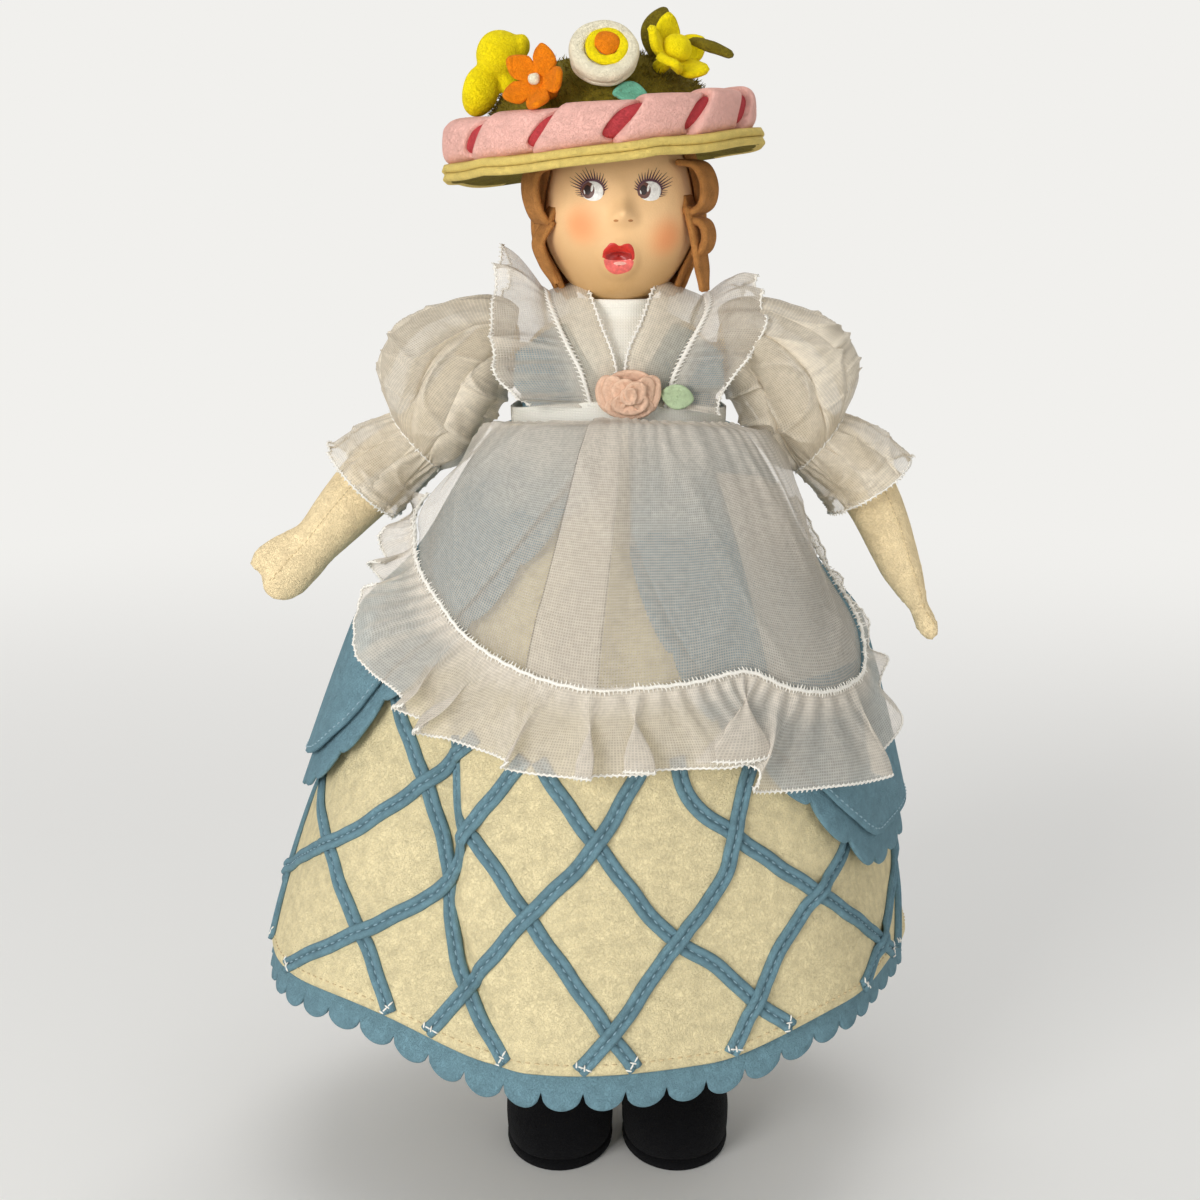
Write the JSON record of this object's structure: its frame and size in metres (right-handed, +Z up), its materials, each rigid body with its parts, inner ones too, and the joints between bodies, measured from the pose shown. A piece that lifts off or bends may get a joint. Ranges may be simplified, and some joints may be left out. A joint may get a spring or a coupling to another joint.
{
  "type": "cloth doll",
  "caption": "Standing felt doll in a bell skirt with felt lattice, sheer apron and sleeves and a flowered hat; head, arms and legs turn on thread joints.",
  "frame": {"origin": "Middle of the doll's outline on the floor, at the underside of the soles.", "axes": "+Z is up, the doll faces -Y and its own left hand is on the +X side."},
  "size_m": [0.1464, 0.1258, 0.2449],
  "materials": {
    "calico": "woven cotton over stuffing, matt",
    "flesh_felt": "pressed wool felt, matt",
    "arm_felt": "wool felt with oversewn seams, matt",
    "blue_felt": "wool felt, matt",
    "cream_felt": "wool felt, matt",
    "black_felt": "wool felt, matt",
    "brown_felt": "wool felt strips, matt",
    "olive_felt": "hairy wool felt, matt",
    "yellow_felt": "wool felt, matt",
    "bright_yellow_felt": "wool felt, matt",
    "pink_felt": "folded wool felt, matt",
    "orange_felt": "wool felt, matt",
    "white_felt": "wool felt, matt",
    "mint_felt": "wool felt, matt",
    "peach_felt": "wool felt, matt",
    "leaf_felt": "wool felt, matt",
    "cotton": "plain white cotton, matt",
    "organdie": "crisp sheer cotton organdie",
    "thread": "waxed linen thread",
    "peg_wood": "plain turned softwood"
  },
  "bodies": {
    "torso_body": {"torso": "calico", "shoulder_cord": "thread", "hip_cord": "thread", "neck_peg": "peg_wood", "bodice": "blue_felt", "blouse_front": "cotton", "waistband": "cotton", "left_strap": "organdie", "left_shoulder_frill": "organdie", "right_strap": "organdie", "right_shoulder_frill": "organdie", "skirt": "cream_felt", "hem_band": "blue_felt", "skirt_lattice": "blue_felt", "overskirt": "blue_felt", "overskirt_trim": "blue_felt", "apron": "organdie", "apron_frill": "organdie", "waist_rose": "peach_felt", "rose_leaf": "leaf_felt"},
    "head_body": {"head": "flesh_felt", "back_hair": "brown_felt", "left_hair_loop": "brown_felt", "left_hair_lock": "brown_felt", "right_hair_loop": "brown_felt", "right_hair_lock": "brown_felt", "brim_lining": "yellow_felt", "brim_top": "yellow_felt", "hat_crown": "olive_felt", "hat_band": "pink_felt", "yellow_bud": "bright_yellow_felt", "orange_flower": "orange_felt", "orange_bead": "white_felt", "white_disc_flower": "white_felt", "disc_flower_ring": "bright_yellow_felt", "disc_flower_core": "orange_felt", "yellow_flower": "bright_yellow_felt", "mint_leaf": "mint_felt", "olive_leaf": "olive_felt", "olive_stem": "olive_felt"},
    "left_arm_body": {"left_arm": "arm_felt", "left_puff_sleeve": "organdie", "left_flounce": "organdie"},
    "right_arm_body": {"right_arm": "arm_felt", "right_puff_sleeve": "organdie", "right_flounce": "organdie"},
    "left_leg_body": {"left_leg": "arm_felt", "left_boot": "black_felt", "left_sole": "black_felt"},
    "right_leg_body": {"right_leg": "arm_felt", "right_boot": "black_felt", "right_sole": "black_felt"}
  },
  "joints": [
    {"name": "neck_swivel", "type": "hinge", "parent": "torso_body", "child": "head_body", "pos_m": [0.00457, 0.00083, 0.19], "axis": [0, 0, 1], "range_deg": [-35, 35]},
    {"name": "left_shoulder", "type": "hinge", "parent": "torso_body", "child": "left_arm_body", "pos_m": [0.02657, 0.00083, 0.177], "axis": [-1, 0, 0], "range_deg": [-40, 95]},
    {"name": "right_shoulder", "type": "hinge", "parent": "torso_body", "child": "right_arm_body", "pos_m": [-0.01743, 0.00083, 0.177], "axis": [-1, 0, 0], "range_deg": [-40, 95]},
    {"name": "left_hip", "type": "hinge", "parent": "torso_body", "child": "left_leg_body", "pos_m": [0.01717, 0.00083, 0.1], "axis": [-1, 0, 0], "range_deg": [-20, 24]},
    {"name": "right_hip", "type": "hinge", "parent": "torso_body", "child": "right_leg_body", "pos_m": [-0.00803, 0.00083, 0.1], "axis": [-1, 0, 0], "range_deg": [-20, 24]}
  ]
}
